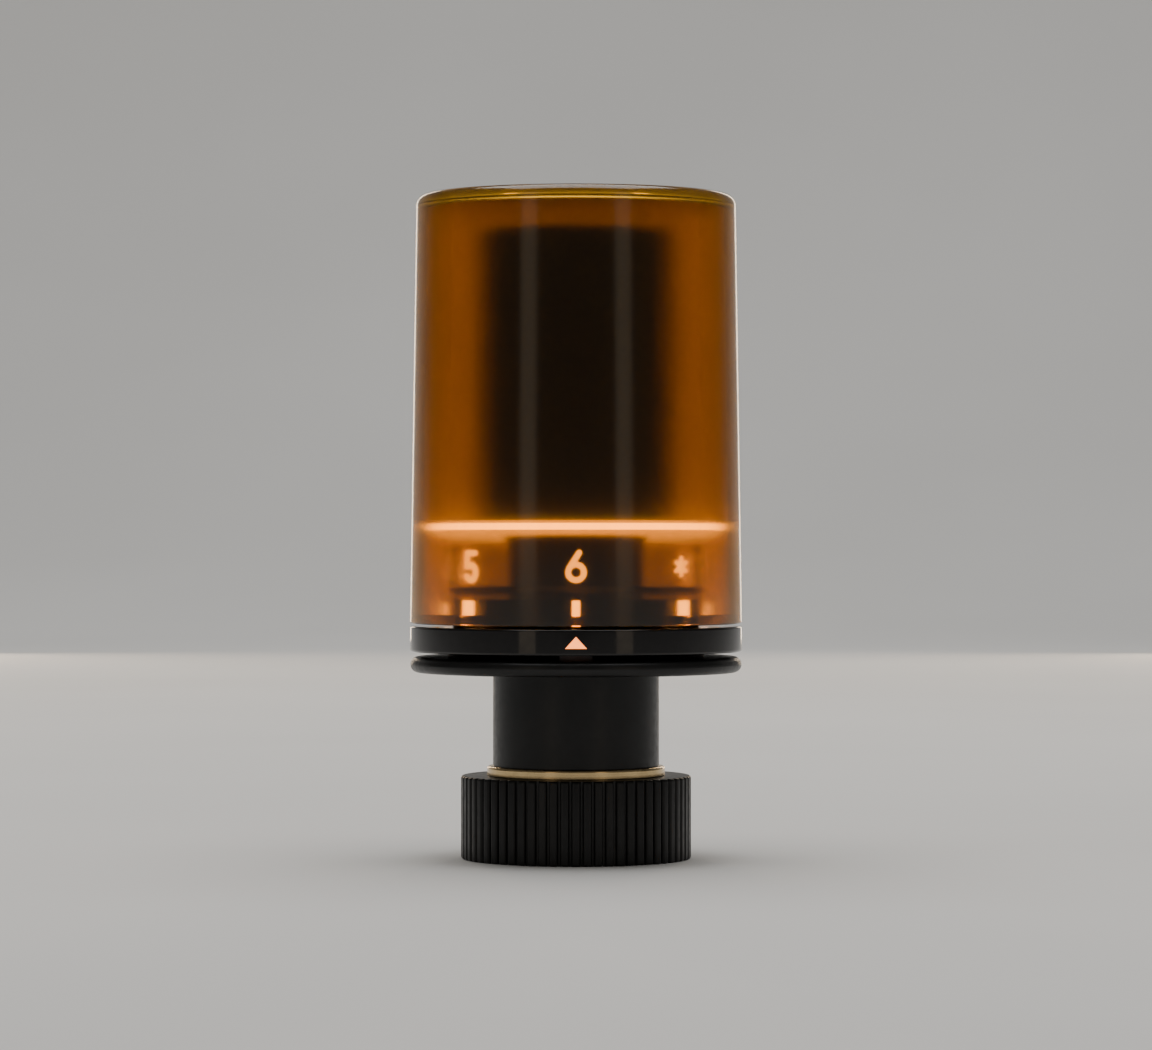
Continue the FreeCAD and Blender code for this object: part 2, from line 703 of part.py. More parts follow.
def dial_sensor():
    """Sensor chip on the drum's roof that reads the dial's ring magnet."""
    middle_y = lip_bore_r - GAP * 3 - SENSOR_SIZE / 2
    return block(SENSOR_SIZE, SENSOR_SIZE, drum_top, drum_top + SENSOR_H, 0, middle_y)


def stroke_line(start, end, stroke=GLYPH_STROKE):
    """A straight stroke with round ends, as a bar along Y."""
    half = stroke / 2
    depth = 3 * sleeve_r
    dx = end[0] - start[0]
    dz = end[1] - start[1]
    length = math.hypot(dx, dz)
    bar = Part.makeBox(length, depth, stroke, FreeCAD.Vector(0, 0, -half))
    bar.rotate(ORIGIN, FreeCAD.Vector(0, 1, 0), -math.degrees(math.atan2(dz, dx)))
    bar.translate(FreeCAD.Vector(start[0], 0, start[1]))
    caps = []
    for x, z in (start, end):
        caps.append(Part.makeCylinder(half, depth, FreeCAD.Vector(x, 0, z), FreeCAD.Vector(0, 1, 0)))
    return bar.multiFuse(caps)


def stroke_arc(centre, radius, start_deg, end_deg):
    """A curved stroke with round ends, as a bar along Y; angles run from +X towards +Z."""
    half = GLYPH_STROKE / 2
    depth = 3 * sleeve_r
    along_y = FreeCAD.Vector(0, 1, 0)
    profile = [(radius - half, 0), (radius + half, 0), (radius + half, depth), (radius - half, depth)]
    points = [FreeCAD.Vector(x, y, 0) for x, y in profile]
    face = Part.Face(Part.makePolygon(points + points[:1]))
    band = face.revolve(ORIGIN, along_y, -(end_deg - start_deg))
    band.rotate(ORIGIN, along_y, -start_deg)
    pieces = [band]
    if end_deg - start_deg < 360:
        for degrees in (start_deg, end_deg):
            angle = math.radians(degrees)
            tip = FreeCAD.Vector(radius * math.cos(angle), 0, radius * math.sin(angle))
            pieces.append(Part.makeCylinder(half, depth, tip, along_y))
    for piece in pieces:
        piece.translate(FreeCAD.Vector(centre[0], 0, centre[1]))
    return pieces[0].multiFuse(pieces[1:]) if len(pieces) > 1 else band


def glyph_strokes():
    """The strokes of each mark, centred on x = 0 with the foot of the figure at z = 0."""
    half = GLYPH_STROKE / 2
    side = GLYPH_W / 2 - half
    top = GLYPH_H - half
    bowl = (0, half + side)
    upper_r = side * 0.84
    lower_r = side
    upper_z = top - upper_r
    lower_z = half + lower_r
    star_r = (GLYPH_W - STAR_STROKE) / 2
    star_z = GLYPH_H / 2
    star = []
    for degrees in (30, 90, 150):
        angle = math.radians(degrees)
        dx = star_r * math.cos(angle)
        dz = star_r * math.sin(angle)
        star.append(stroke_line((-dx, star_z - dz), (dx, star_z + dz), STAR_STROKE))
    five_r = side * 0.98
    five_z = half + five_r
    five_join = five_z + five_r
    return {
        "numeral_1": [
            stroke_line((0.2, half), (0.2, top)),
            stroke_line((0.2, top), (-side * 0.7, top - side * 0.7)),
        ],
        "numeral_2": [
            stroke_arc((0, top - side), side, -35, 170),
            stroke_line((side * 0.82, top - side - side * 0.57), (-side, half)),
            stroke_line((-side, half), (side, half)),
        ],
        "numeral_3": [
            stroke_arc((-0.1, upper_z), upper_r, -90, 150),
            stroke_arc((-0.1, lower_z), lower_r, -150, 90),
        ],
        "numeral_4": [
            stroke_line((side * 0.45, half), (side * 0.45, top)),
            stroke_line((side * 0.45, top), (-side, half + side)),
            stroke_line((-side, half + side), (side, half + side)),
        ],
        "numeral_5": [
            stroke_line((-side * 0.8, top), (side * 0.85, top)),
            stroke_line((-side * 0.8, top), (-side * 0.8, five_join - half / 2)),
            stroke_line((-side * 0.8, five_join - half / 2), (0, five_join)),
            stroke_arc((0, five_z), five_r, -150, 90),
        ],
        "numeral_6": [
            stroke_arc(bowl, side, 0, 360),
            stroke_line((-side * 0.87, bowl[1] + side * 0.5), (side * 0.4, top)),
        ],
        "frost_mark": star,
    }


def on_sleeve(shape, relief):
    """Keeps of a bar only what stands on the sleeve's outside, to the given relief."""
    behind = FreeCAD.Vector(0, -3 * sleeve_r, 0)
    shape.translate(behind)
    band = tube(sleeve_r + relief, sleeve_r, dial_foot, sleeve_top)
    return shape.common(band)


def marks():
    """Each mark of the dial in its place: the highest figure faces the pointer at rest."""
    placed = {}
    order = ["numeral_6", "frost_mark", "numeral_1", "numeral_2", "numeral_3", "numeral_4", "numeral_5"]
    strokes = glyph_strokes()
    for index, name in enumerate(order):
        figure = strokes[name][0].multiFuse(strokes[name][1:])
        figure.translate(FreeCAD.Vector(0, 0, glyph_foot))
        figure = on_sleeve(figure, GLYPH_RELIEF)
        placed[name] = around(figure, [index * step_deg])[0]
    return placed


def tick_bars():
    """One upright bar under each mark."""
    bar = block(TICK_W, 2 * TICK_RELIEF, tick_foot, tick_foot + TICK_H, 0, -sleeve_r)
    bar = bar.common(tube(sleeve_r + TICK_RELIEF, sleeve_r, tick_foot - 1, tick_foot + TICK_H + 1))
    return group(around(bar, [index * step_deg for index in range(POSITIONS)]))


# ---- amber cap -----------------------------------------------------------------------------
def amber_cap():
    """Tall tapered cap, open below, with a thick flat top and a rounded upper edge."""
    inner_top = cap_top - CAP_ROOF
    cap = turned([
        (cap_bore_r, dial_foot),
        (HEAD_R, dial_foot),
        (cap_top_r, cap_top),
        (0, cap_top),
        (0, inner_top),
        (cap_top_r - CAP_WALL, inner_top),
    ])
    cap = cap.makeFillet(CAP_EDGE, rims(cap, cap_top))
    return cap.makeFillet(CAP_FOOT_EDGE, rims(cap, dial_foot, HEAD_R))


# ---- motor and light ring ------------------------------------------------------------------
def motor_chimney():
    """Dark tube round the motor that carries the light ring and the battery tube."""
    return turned([
        (chimney_bore_r, drum_top),
        (chimney_r, drum_top),
        (chimney_r, light_ring_foot - CHIMNEY_SHOULDER),
        (chimney_r + CHIMNEY_SHOULDER, light_ring_foot),
        (chimney_r, light_ring_foot),
        (chimney_r, tube_foot),
        (chimney_bore_r, tube_foot),
    ])


def drive_motor():
    """Motor can with its nose in the drum's roof and a running bore for the shaft."""
    can = rod(MOTOR_R, drum_top, motor_top)
    can = can.makeFillet(MOTOR_EDGE, rims(can, drum_top) + rims(can, motor_top))
    motor = can.fuse(rod(MOTOR_NOSE_R, drum_roof_foot, drum_top))
    return motor.cut(rod(SHAFT_R + SLIP, drum_roof_foot - 1, drum_top + SHAFT_GRIP + GAP))


def motor_damper():
    """Rubber ring that holds the motor in the chimney."""
    foot = drum_top + DAMPER_LIFT
    return tube(chimney_bore_r, MOTOR_R, foot, foot + DAMPER_H)


def led_spots():
    ring_r = (chimney_r + tube_r) / 2
    return [polar(ring_r, FRONT_DEG + index * 360.0 / LED_COUNT) for index in range(LED_COUNT)]


def light_ring():
    """Clear light guide whose rim glows, with a pocket for each lamp."""
    ring = tube(light_ring_r, chimney_r, light_ring_foot, light_ring_top)
    edges = rims(ring, light_ring_foot, light_ring_r) + rims(ring, light_ring_top, light_ring_r)
    ring = ring.makeFillet(LIGHT_RING_EDGE, edges)
    pocket = LED_SIZE + 2 * GAP
    for spot in led_spots():
        foot = light_ring_top - LED_H - GAP
        ring = ring.cut(block(pocket, pocket, foot, light_ring_top + 1, spot.x, spot.y))
    return ring


def ring_lamps():
    """Lamps under the ring board that shine into the light ring."""
    lamps = []
    for spot in led_spots():
        lamps.append(block(LED_SIZE, LED_SIZE, light_ring_top - LED_H, light_ring_top, spot.x, spot.y))
    return group(lamps)


def ring_board():
    """Round lamp board between the light ring and the battery tube."""
    return tube(tube_r - 2 * GAP, chimney_r, light_ring_top, tube_foot)


# ---- battery tube --------------------------------------------------------------------------
def battery_tube():
    """Dark cup that holds the cell and the main board."""
    cup = turned([
        (0, tube_foot),
        (tube_r, tube_foot),
        (tube_r, lid_foot),
        (tube_bore_r, lid_foot),
        (tube_bore_r, tube_floor_top),
        (0, tube_floor_top),
    ])
    slot_w = FLEX_W + 2 * FLEX_PLAY
    slot_t = FLEX_T + 2 * FLEX_PLAY
    return cup.cut(block(slot_w, slot_t, tube_foot - 1, tube_floor_top + 1, 0, flex_y))


def battery_lid():
    """Quarter-turn lid with a coin slot and a grooved spigot, a hair above the tube's rim."""
    foot = lid_foot + GAP
    top = lid_top + GAP
    plate = rod(tube_r, foot, top)
    plate = plate.makeFillet(LID_EDGE, rims(plate, top))
    spigot = rod(spigot_r, foot - LID_SPIGOT, foot)
    spigot = spigot.cut(seal_band(tube_r))
    lid = plate.fuse(spigot)
    lid = lid.cut(rod(tube_bore_r - LID_SPIGOT_WALL, foot - LID_SPIGOT - 1, foot))
    return lid.cut(block(COIN_SLOT_L, COIN_SLOT_W, top - COIN_SLOT_DEPTH, top + 1))


def seal_band(outer):
    """The band that the lid's seal takes up, out to a given radius."""
    middle = lid_foot + GAP - LID_SPIGOT / 2
    return tube(outer, seal_bore_r, middle - SEAL_T / 2, middle + SEAL_T / 2)


def lid_seal():
    """Rubber ring in the lid's groove."""
    return seal_band(tube_bore_r - SLIP)


def positive_contact():
    """Contact button under the lid that meets the cell's end."""
    centre = FreeCAD.Vector(0, CELL_Y, 0)
    foot = cell_top + CELL_NUB_H + GAP
    post = rod(CONTACT_POST_R, foot, lid_foot + GAP, centre)
    return post.fuse(rod(CONTACT_R, foot, foot + CONTACT_T, centre))


def battery_cell():
    """Lithium cell of 17 mm diameter, standing on its spring."""
    centre = FreeCAD.Vector(0, CELL_Y, 0)
    can = rod(CELL_R, cell_foot, cell_top, centre)
    can = can.makeFillet(CELL_EDGE, rims(can, cell_foot) + rims(can, cell_top))
    return can.fuse(rod(CELL_NUB_R, cell_top, cell_top + CELL_NUB_H, centre))


def battery_spring():
    """Coil spring of square wire under the cell, on a flat contact plate."""
    centre = FreeCAD.Vector(0, CELL_Y, 0)
    half = SPRING_WIRE / 2
    plate_top = tube_floor_top + SPRING_PLATE_T
    rise = SPRING_H - SPRING_PLATE_T - SPRING_WIRE
    helix = Part.makeHelix(rise / SPRING_TURNS, rise, SPRING_R)
    corners = ((-half, -half), (half, -half), (half, half), (-half, half))
    points = [FreeCAD.Vector(SPRING_R + across, 0, height) for across, height in corners]
    wire = Part.makePolygon(points + points[:1])
    coil = Part.Wire(helix).makePipeShell([wire], True, True)
    coil.translate(FreeCAD.Vector(centre.x, centre.y, plate_top + half))
    return group([rod(SPRING_R + SPRING_WIRE, tube_floor_top, plate_top, centre), coil])


def main_board():
    """Control board standing beside the cell."""
    foot = tube_floor_top + MAIN_BOARD_LIFT
    top = lid_foot - LID_SPIGOT - 4 * GAP
    return block(MAIN_BOARD_W, MAIN_BOARD_T, foot, top, 0, main_board_y + MAIN_BOARD_T / 2)


def board_parts():
    """Radio module, processor, storage capacitor and connector on the main board's back."""
    parts = []
    for width, depth, lift, height, x in (RADIO, PROCESSOR, CAPACITOR, CONNECTOR):
        foot = tube_floor_top + lift
        parts.append(block(width, depth, foot, foot + height, x, board_back_y + depth / 2))
    return group(parts)


def flex_strip():
    """Flat lead from the motor, past the tube's floor and under the board's edge to its front."""
    foot = drum_top + DAMPER_LIFT + DAMPER_H + 2 * GAP
    bend_foot = tube_floor_top + GAP
    bend_top = bend_foot + FLEX_T
    board_y = main_board_y - FLEX_T / 2
    lower = block(FLEX_W, FLEX_T, foot, bend_top, 0, flex_y)
    bend = block(FLEX_W, abs(flex_y - board_y) + FLEX_T, bend_foot, bend_top, 0, (flex_y + board_y) / 2)
    upper = block(FLEX_W, FLEX_T, bend_foot, tube_floor_top + FLEX_W, 0, board_y)
    return lower.multiFuse([bend, upper]).removeSplitter()


# ---- write every node ----------------------------------------------------------------------
def build():
    nodes = {
        "union_nut": union_nut(),
        "neck_sleeve": neck_sleeve(),
        "nut_washer": nut_washer(),
        "brass_ring": brass_ring(),
        "base_flange": base_flange(),
        "neck_screws": neck_screws(),
        "drum_screws": drum_screws(),
        "base_drum": base_drum(),
        "gear_plate": gear_plate(),
        "gear_axles": gear_axles(),
        "output_gear": output_gear(),
        "spindle_nut": spindle_nut(),
        "second_gear": second_gear(),
        "first_gear": first_gear(),
        "motor_pinion": motor_pinion(),
        "motor_shaft": motor_shaft(),
        "drive_screw": drive_screw(),
        "plunger_foot": plunger_foot(),
        "guide_bush": guide_bush(),
        "pointer_ring": pointer_ring(),
        "pointer_lens": pointer_lens(),
        "pointer_board": pointer_board(),
        "stop_pin": stop_pin(),
        "number_sleeve": number_sleeve(),
        "encoder_magnet": encoder_magnet(),
        "dial_sensor": dial_sensor(),
        "tick_bars": tick_bars(),
        "amber_cap": amber_cap(),
        "motor_chimney": motor_chimney(),
        "drive_motor": drive_motor(),
        "motor_damper": motor_damper(),
        "light_ring": light_ring(),
        "ring_lamps": ring_lamps(),
        "ring_board": ring_board(),
        "battery_tube": battery_tube(),
        "battery_lid": battery_lid(),
        "lid_seal": lid_seal(),
        "positive_contact": positive_contact(),
        "battery_cell": battery_cell(),
        "battery_spring": battery_spring(),
        "main_board": main_board(),
        "board_parts": board_parts(),
        "flex_strip": flex_strip(),
    }
    nodes.update(marks())
    return nodes


os.makedirs("parts", exist_ok=True)
for name, shape in build().items():
    shape.exportStep("parts/" + name + ".step")
    print(name, len(shape.Solids), round(shape.Volume, 2), shape.isValid())
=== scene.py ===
"""Looks of a motorised radiator valve head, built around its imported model."""

import math

import bmesh
import bpy
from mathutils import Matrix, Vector


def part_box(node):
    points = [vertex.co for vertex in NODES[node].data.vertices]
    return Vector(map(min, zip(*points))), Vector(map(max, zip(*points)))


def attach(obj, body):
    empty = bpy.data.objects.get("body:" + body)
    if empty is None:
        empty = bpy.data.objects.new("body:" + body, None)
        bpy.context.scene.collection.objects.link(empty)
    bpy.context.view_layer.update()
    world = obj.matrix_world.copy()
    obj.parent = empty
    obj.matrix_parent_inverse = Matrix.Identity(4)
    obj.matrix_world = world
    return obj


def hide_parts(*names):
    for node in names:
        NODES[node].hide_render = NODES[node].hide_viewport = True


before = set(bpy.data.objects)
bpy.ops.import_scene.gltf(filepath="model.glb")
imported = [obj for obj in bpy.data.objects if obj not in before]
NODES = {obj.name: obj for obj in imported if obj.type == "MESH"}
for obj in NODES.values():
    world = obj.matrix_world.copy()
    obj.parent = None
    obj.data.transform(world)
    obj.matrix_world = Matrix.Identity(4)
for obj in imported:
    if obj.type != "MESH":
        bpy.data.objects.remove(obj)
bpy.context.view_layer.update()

bl_info = {
    "name": "Radiator valve head",
    "version": (1, 0, 0),
    "blender": (4, 5, 0),
    "location": "3D View > Sidebar > Valve head",
    "description": "Builds the cap, light ring, union nut and finishes of a motorised valve head",
    "category": "Object",
}

MM = 0.001
MILKY = (1.0, 0.82, 0.66)  # unlit tone of the figures and ticks
MILKY_RING = (1.0, 0.80, 0.62)
MILKY_LAMP = (1.0, 0.85, 0.7)
MILKY_POINTER = (0.16, 0.08, 0.03)
PLASTIC_IOR = 1.5
ACRYLIC_IOR = 1.49
SLEEVE_IOR = 1.2  # low, so that the sleeve's edges stay faint
FROST_FADE = 4 * MM  # height over which the cap's frost changes
RING_BORE_PLAY = 0.75 * MM  # how far the ring reaches inside the chimney's outer radius
RING_BEVEL = (1.2 * MM, 0.45 * MM)  # width and height of the ring's rounded edges
RING_FILLETS = (0.3 * MM, 0.4 * MM)


# ---- places taken from the frame -----------------------------------------------------------
def top_of(node):
    """The height of a node's top, in metres."""
    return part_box(node)[1].z


def foot_of(node):
    """The height of a node's foot, in metres."""
    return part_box(node)[0].z


def radius_of(node):
    """The outer radius of a round node that stands on the head's axis."""
    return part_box(node)[1].x


# ---- settings ------------------------------------------------------------------------------
class CapSettings(bpy.types.PropertyGroup):
    """Sizes and colours of the amber cap."""

    wall: bpy.props.FloatProperty(
        name="Wall",
        description="Thickness of the cap's side and roof",
        default=1.8 * MM, unit="LENGTH",
    )
    draft: bpy.props.FloatProperty(
        name="Draft",
        description="How much narrower the cap is at its top",
        default=1.0 * MM, unit="LENGTH",
    )
    edge: bpy.props.FloatProperty(
        name="Upper edge",
        description="Radius of the cap's upper edge",
        default=1.75 * MM, unit="LENGTH",
    )
    foot_edge: bpy.props.FloatProperty(
        name="Foot edge",
        description="Radius of the cap's lower edge",
        default=0.3 * MM, unit="LENGTH",
    )
    amber: bpy.props.FloatVectorProperty(
        name="Amber", description="Colour of the clear amber plastic", default=(0.56, 0.285, 0.018),
        subtype="COLOR", size=3, min=0, max=1,
    )
    polish: bpy.props.FloatProperty(
        name="Outer gloss",
        description="Roughness of the cap's polished outside",
        default=0.13, min=0, max=1,
    )
    frost: bpy.props.FloatProperty(
        name="Frost",
        description="Roughness of the cap's inside over the battery tube",
        default=0.36, min=0, max=1,
    )
    window_frost: bpy.props.FloatProperty(
        name="Window frost",
        description="Roughness of the cap's inside in front of the figures",
        default=0.20,
        min=0, max=1,
    )


class GlowSettings(bpy.types.PropertyGroup):
    """Colours and strengths of everything that is lit."""

    warm: bpy.props.FloatVectorProperty(
        name="Warm light", description="Colour of the lamps", default=(1.0, 0.54, 0.20),
        subtype="COLOR", size=3, min=0, max=1,
    )
    pointer: bpy.props.FloatVectorProperty(
        name="Pointer light", description="Colour of the pointer, which has no amber in front of it",
        default=(1.0, 0.26, 0.05), subtype="COLOR", size=3, min=0, max=1,
    )
    ring_strength: bpy.props.FloatProperty(
        name="Ring strength", description="Brightness of the light ring's rim", default=10.0, min=0
    )
    face_strength: bpy.props.FloatProperty(
        name="Ring faces",
        description="Brightness of the light ring's flat faces",
        default=2.4, min=0,
    )
    tick_strength: bpy.props.FloatProperty(
        name="Tick strength",
        description="Brightness of the ticks under the figures",
        default=7.5, min=0,
    )
    figure_strength: bpy.props.FloatProperty(
        name="Figure strength", description="Brightness of the figures", default=4.6, min=0
    )
    pointer_strength: bpy.props.FloatProperty(
        name="Pointer strength",
        description="Brightness of the pointer under the cap",
        default=3.4, min=0,
    )


class NutSettings(bpy.types.PropertyGroup):
    """Sizes of the union nut's ribs and thread."""

    ribs: bpy.props.IntProperty(name="Ribs", description="Number of grip ribs", default=64, min=12)
    groove: bpy.props.FloatProperty(
        name="Groove",
        description="Width of the grooves between ribs",
        default=0.5 * MM, unit="LENGTH",
    )
    depth: bpy.props.FloatProperty(
        name="Groove depth", description="Depth of the grooves", default=0.5 * MM, unit="LENGTH"
    )
    edge: bpy.props.FloatProperty(
        name="Edge",
        description="Radius of the nut's upper and lower edges",
        default=0.4 * MM, unit="LENGTH",
    )
    thread_core: bpy.props.FloatProperty(
        name="Thread core",
        description="Radius of the thread's crests",
        default=14.19 * MM, unit="LENGTH",
    )
    thread_depth: bpy.props.FloatProperty(
        name="Thread depth", description="Depth of the thread", default=0.81 * MM, unit="LENGTH"
    )
    pitch: bpy.props.FloatProperty(
        name="Pitch", description="Pitch of the thread", default=1.5 * MM, unit="LENGTH"
    )


class StageSettings(bpy.types.PropertyGroup):
    """Camera distance, lens and light levels."""

    distance: bpy.props.FloatProperty(
        name="Distance",
        description="From the head's axis to the camera",
        default=0.670, unit="LENGTH",
    )
    eye_height: bpy.props.FloatProperty(
        name="Eye height",
        description="Height of the level camera",
        default=52.15 * MM, unit="LENGTH",
    )
    lens: bpy.props.FloatProperty(
        name="Lens", description="Focal length in millimetres", default=133.7, min=10
    )
    sky: bpy.props.FloatProperty(
        name="Room light", description="Strength of the even light all round", default=0.10, min=0
    )
    top_power: bpy.props.FloatProperty(
        name="Overhead light",
        description="Power of the wide light overhead, in watts",
        default=32.0, min=0,
    )
    strip_power: bpy.props.FloatProperty(
        name="Strip lights",
        description="Power of the tall front lights, in watts",
        default=0.16, min=0,
    )
    rim_power: bpy.props.FloatProperty(
        name="Rim lights",
        description="Power of the tall lights behind the head, in watts",
        default=1.0, min=0,
    )


# ---- node helpers --------------------------------------------------------------------------
class Shader:
    """A material being put together: a Principled surface and short calls that add nodes."""

    def __init__(self, name):
        self.material = bpy.data.materials.new(name)
        self.material.use_nodes = True
        self.tree = self.material.node_tree
        self.tree.nodes.clear()
        self.output = self.node("ShaderNodeOutputMaterial")
        self.surface = self.node("ShaderNodeBsdfPrincipled")
        self.link(self.surface, "BSDF", self.output, "Surface")
        self.coordinates = self.node("ShaderNodeTexCoord")

    def node(self, kind, **settings):
        made = self.tree.nodes.new(kind)
        for key, value in settings.items():
            setattr(made, key, value)
        return made

    def link(self, source, output, target, socket):
        self.tree.links.new(source.outputs[output], target.inputs[socket])

    def set(self, **values):
        """Puts constants straight on the surface; a name's underscores stand for spaces."""
        for key, value in values.items():
            self.surface.inputs[key.replace("_", " ")].default_value = value

    def noise(self, scale, detail):
        """A noise texture in object space, in features per metre."""
        texture = self.node("ShaderNodeTexNoise")
        texture.inputs["Scale"].default_value = scale
        texture.inputs["Detail"].default_value = detail
        self.link(self.coordinates, "Object", texture, "Vector")
        return texture

    def turned_noise(self, scale, detail):
        """Noise that is the same all round the head's axis, as marks from a lathe are."""
        split = self.node("ShaderNodeSeparateXYZ")
        flat = self.node("ShaderNodeCombineXYZ")
        radius = self.node("ShaderNodeVectorMath", operation="LENGTH")
        joined = self.node("ShaderNodeCombineXYZ")
        texture = self.node("ShaderNodeTexNoise")
        texture.inputs["Scale"].default_value = scale
        texture.inputs["Detail"].default_value = detail
        self.link(self.coordinates, "Object", split, "Vector")
        self.link(split, "X", flat, "X")
        self.link(split, "Y", flat, "Y")
        self.link(flat, "Vector", radius, 0)
        self.link(radius, "Value", joined, "X")
        self.link(split, "Z", joined, "Z")
        self.link(joined, "Vector", texture, "Vector")
        return texture

    def spread(self, texture, low, high, start=0.3, end=0.7, output="Fac"):
        """Maps a texture's middle values to low and high."""
        ranged = self.node("ShaderNodeMapRange")
        ranged.inputs["From Min"].default_value = start
        ranged.inputs["From Max"].default_value = end
        ranged.inputs["To Min"].default_value = low
        ranged.inputs["To Max"].default_value = high
        self.link(texture, output, ranged, "Value")
        return ranged

    def tones(self, texture, dark, light):
        """Colours a texture from a dark tone to a light one and feeds the base colour."""
        ramp = self.node("ShaderNodeValToRGB")
        ramp.color_ramp.elements[0].position = 0.35
        ramp.color_ramp.elements[0].color = (*dark, 1)
        ramp.color_ramp.elements[1].position = 0.65
        ramp.color_ramp.elements[1].color = (*light, 1)
        self.link(texture, "Fac", ramp, "Fac")
        self.link(ramp, "Color", self.surface, "Base Color")

    def roughen(self, texture, low, high):
        self.link(self.spread(texture, low, high), "Result", self.surface, "Roughness")

    def bump(self, texture, height):
        """Raises the surface by a texture, with height in metres."""
        node = self.node("ShaderNodeBump")
        node.inputs["Distance"].default_value = height
        self.link(texture, "Fac", node, "Height")
        self.link(node, "Normal", self.surface, "Normal")


def shade(tone, share):
    """A colour made darker or lighter by a share."""
    return tuple(min(1.0, channel * share) for channel in tone)


def moulded(name, tone, rough, grain=0.006 * MM, scale=5200, coat=0.0, shine=0.5):
    """Moulded plastic with a fine grain and slightly uneven gloss."""
    made = Shader(name)
    made.tones(made.noise(260, 2), shade(tone, 0.86), shade(tone, 1.18))
    made.roughen(made.noise(900, 4), rough - 0.05, rough + 0.06)
    made.bump(made.noise(scale, 2), grain)
    made.set(IOR=PLASTIC_IOR, Specular_IOR_Level=shine, Coat_Weight=coat, Coat_Roughness=0.08)
    return made.material


def metal(name, tone, rough, lathe_scale=9000):
    """Bright turned metal with marks that run round the axis."""
    made = Shader(name)
    made.tones(made.noise(420, 4), shade(tone, 0.86), shade(tone, 1.08))
    made.roughen(made.turned_noise(lathe_scale, 4), rough - 0.07, rough + 0.10)
    made.bump(made.turned_noise(lathe_scale * 1.7, 2), 0.002 * MM)
    made.set(Metallic=1.0)
    return made.material


def glowing(name, tone, light, strength):
    """Milky plastic lit from inside, with a faintly uneven skin."""
    made = Shader(name)
    speckle = made.noise(700, 3)
    made.tones(speckle, shade(tone, 0.88), tone)
    made.roughen(speckle, 0.30, 0.42)
    made.bump(made.noise(2600, 2), 0.004 * MM)
    made.set(Emission_Color=(*light, 1), Emission_Strength=strength)
    return made.material


# ---- mesh helpers --------------------------------------------------------------------------
def rounded(corners, steps=8):
    """Rounds the corners of a closed outline. Each corner is (radius, height, fillet)."""
    points = []
    count = len(corners)
    for index, (r, z, fillet) in enumerate(corners):
        here = Vector((r, z))
        if fillet <= 0:
            points.append(here)
            continue
        before = Vector(corners[index - 1][:2]) - here
        after = Vector(corners[(index + 1) % count][:2]) - here
        angle = before.angle(after)
        reach = min(fillet / math.tan(angle / 2), 0.49 * before.length, 0.49 * after.length)
        radius = reach * math.tan(angle / 2)
        inward = (before.normalized() + after.normalized()).normalized()
        middle = here + inward * (radius / math.sin(angle / 2))
        start = here + before.normalized() * reach - middle
        sweep = start.angle_signed(here + after.normalized() * reach - middle)
        for step in range(steps + 1):
            angle = -sweep * step / steps
            points.append(middle + Vector((
                start.x * math.cos(angle) - start.y * math.sin(angle),
                start.x * math.sin(angle) + start.y * math.cos(angle),
            )))
    return points


def lathe(name, outline, segments=256):
    """A mesh turned about Z from an outline of (radius, height) points, in metres.

    The outline is a loop. Where it runs along the axis itself, the loop stays open there.
    """
    mesh = bpy.data.meshes.new(name)
    work = bmesh.new()
    rings = []
    for r, z in outline:
        if r < 1e-7:
            rings.append([work.verts.new((0, 0, z))])
            continue
        ring = []
        for index in range(segments):
            angle = 2 * math.pi * index / segments
            ring.append(work.verts.new((r * math.cos(angle), r * math.sin(angle), z)))
        rings.append(ring)
    for lower, upper in zip(rings, rings[1:] + rings[:1]):
        for index in range(segments):
            after = (index + 1) % segments
            corners = [lower[index % len(lower)], lower[after % len(lower)],
                       upper[after % len(upper)], upper[index % len(upper)]]
            unique = list(dict.fromkeys(corners))
            if len(unique) > 2:
                work.faces.new(unique)
    bmesh.ops.recalc_face_normals(work, faces=work.faces)
    work.to_mesh(mesh)
    work.free()
    mesh.shade_smooth()
    return place(name, mesh)


def place(name, mesh):
    """Links a new object for a mesh."""
    piece = bpy.data.objects.new(name, mesh)
    bpy.context.scene.collection.objects.link(piece)
    return piece


def sharpen(piece, degrees=35):
    """Keeps smooth shading on round faces and a crease on edges over an angle."""
    piece.data.set_sharp_from_angle(angle=math.radians(degrees))


def finish_piece(piece, material, body, slot_name, *nodes):
    """Gives a piece its finish and its body, and hides the nodes that it stands for."""
    if not piece.data.materials:
        piece.data.materials.append(material)
    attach(piece, body)
    if nodes:
        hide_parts(*nodes)
    return piece


def paint(material, *names):
    """Assigns a finish to every slot of the named CAD nodes."""
    for name in names:
        for slot in NODES[name].material_slots:
            slot.material = material


# ---- finishes ------------------------------------------------------------------------------
def amber_gloss(tone, polish):
    """Polished amber plastic, for the cap's outside."""
    made = Shader("amber_gloss")
    made.tones(made.noise(60, 2), shade(tone, 0.97), shade(tone, 1.03))
    made.roughen(made.noise(300, 2), polish - 0.01, polish + 0.01)
    made.set(IOR=ACRYLIC_IOR, Transmission_Weight=1.0)
    return made.material


def amber_frost(tone, frost, window_frost, window_top):
    """Etched amber plastic, for the cap's inside, finer up to window_top, where the figures are."""
    made = Shader("amber_frost")
    made.tones(made.noise(900, 3), shade(tone, 0.95), shade(tone, 1.04))
    height = made.node("ShaderNodeSeparateXYZ")
    made.link(made.coordinates, "Object", height, "Vector")
    fade = made.spread(height, window_frost, frost, window_top, window_top + FROST_FADE, output="Z")
    made.link(fade, "Result", made.surface, "Roughness")
    made.set(IOR=ACRYLIC_IOR, Transmission_Weight=1.0)
    return made.material


